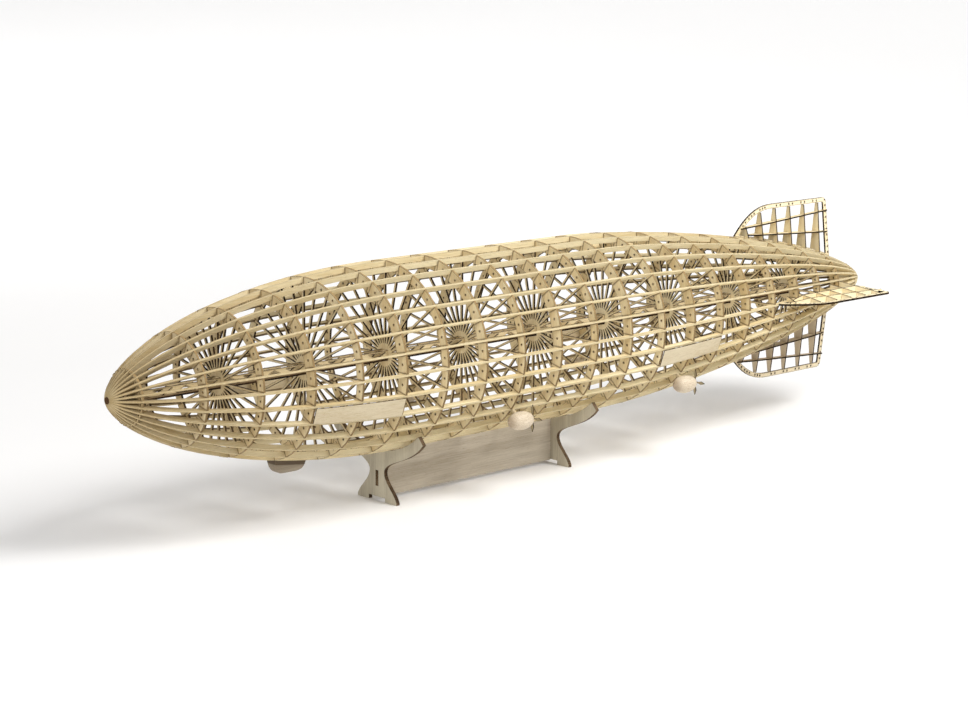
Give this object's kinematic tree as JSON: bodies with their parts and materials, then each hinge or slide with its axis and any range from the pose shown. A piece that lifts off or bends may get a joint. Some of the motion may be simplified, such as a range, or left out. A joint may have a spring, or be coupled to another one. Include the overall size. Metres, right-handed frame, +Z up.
{
  "type": "airship model",
  "caption": "Open wooden skeleton model of a rigid airship with spoked rings, stringers, fins and engine nacelles, resting in the saddles of a plywood stand.",
  "frame": {"origin": "on the table, under the middle of the hull's length", "axes": "+X from nose to tail along the hull axis, +Y to starboard, +Z up"},
  "size_m": [1, 0.189, 0.2315],
  "materials": {
    "laser_cut_plate": "raw sheet with scorched cut edges",
    "stringer_strip": "raw strip, clean edges",
    "stand_plywood": "raw sheet with scorched cut edges",
    "pale_plate": "raw thin sheet",
    "turned_wood": "turned and sanded",
    "dark_wood": "raw wood",
    "propeller_wood": "raw thin sheet with scorched edges",
    "pin_brass": "plain wire pin"
  },
  "bodies": {
    "stand": {"stand_front_cradle": "stand_plywood", "stand_rear_cradle": "stand_plywood", "stand_board": "stand_plywood"},
    "airship": {"nose_ring": "laser_cut_plate", "tail_ring": "laser_cut_plate", "main_ring_1": "laser_cut_plate", "main_ring_2": "laser_cut_plate", "main_ring_3": "laser_cut_plate", "main_ring_4": "laser_cut_plate", "main_ring_5": "laser_cut_plate", "main_ring_6": "laser_cut_plate", "main_ring_7": "laser_cut_plate", "main_ring_8": "laser_cut_plate", "main_ring_9": "laser_cut_plate", "intermediate_ring_1": "laser_cut_plate", "intermediate_ring_2": "laser_cut_plate", "intermediate_ring_3": "laser_cut_plate", "intermediate_ring_4": "laser_cut_plate", "intermediate_ring_5": "laser_cut_plate", "intermediate_ring_6": "laser_cut_plate", "intermediate_ring_7": "laser_cut_plate", "intermediate_ring_8": "laser_cut_plate", "intermediate_ring_9": "laser_cut_plate", "intermediate_ring_10": "laser_cut_plate", "top_stringer": "stringer_strip", "bottom_stringer": "stringer_strip", "stringer_pair_1": "stringer_strip", "stringer_pair_2": "stringer_strip", "stringer_pair_3": "stringer_strip", "stringer_pair_4": "stringer_strip", "stringer_pair_5": "stringer_strip", "stringer_pair_6": "stringer_strip", "stringer_pair_7": "stringer_strip", "stringer_pair_8": "stringer_strip", "stringer_pair_9": "stringer_strip", "stringer_pair_10": "stringer_strip", "stringer_pair_11": "stringer_strip", "stringer_pair_12": "stringer_strip", "stringer_pair_13": "stringer_strip", "nose_plug": "dark_wood", "tail_plug": "dark_wood", "walkway_floor": "laser_cut_plate", "walkway_sides": "laser_cut_plate", "top_fin_frame": "laser_cut_plate", "port_fin_frame": "laser_cut_plate", "bottom_fin_frame": "laser_cut_plate", "starboard_fin_frame": "laser_cut_plate", "upright_fin_ribs": "laser_cut_plate", "level_fin_ribs": "laser_cut_plate", "upright_fin_spars": "laser_cut_plate", "level_fin_spars": "laser_cut_plate", "control_gondola": "dark_wood", "side_plates": "pale_plate", "engine_nacelles": "turned_wood", "engine_struts": "laser_cut_plate", "propeller_pins": "pin_brass"},
    "front_port_propeller": {"front_port_propeller": "propeller_wood"},
    "front_starboard_propeller": {"front_starboard_propeller": "propeller_wood"},
    "rear_port_propeller": {"rear_port_propeller": "propeller_wood"},
    "rear_starboard_propeller": {"rear_starboard_propeller": "propeller_wood"}
  },
  "joints": [
    {"name": "airship_lift", "type": "slide", "parent": "stand", "child": "airship", "axis": [0, 0, 1], "range_m": [0, 0.06]},
    {"name": "front_port_propeller_spin", "type": "hinge", "parent": "airship", "child": "front_port_propeller", "pos_m": [-0.08075, -0.07959, 0.07353], "axis": [1, 0, 0], "continuous": true},
    {"name": "front_starboard_propeller_spin", "type": "hinge", "parent": "airship", "child": "front_starboard_propeller", "pos_m": [-0.08075, 0.07959, 0.07353], "axis": [1, 0, 0], "continuous": true},
    {"name": "rear_port_propeller_spin", "type": "hinge", "parent": "airship", "child": "rear_port_propeller", "pos_m": [0.14925, -0.07633, 0.07613], "axis": [1, 0, 0], "continuous": true},
    {"name": "rear_starboard_propeller_spin", "type": "hinge", "parent": "airship", "child": "rear_starboard_propeller", "pos_m": [0.14925, 0.07633, 0.07613], "axis": [1, 0, 0], "continuous": true}
  ]
}
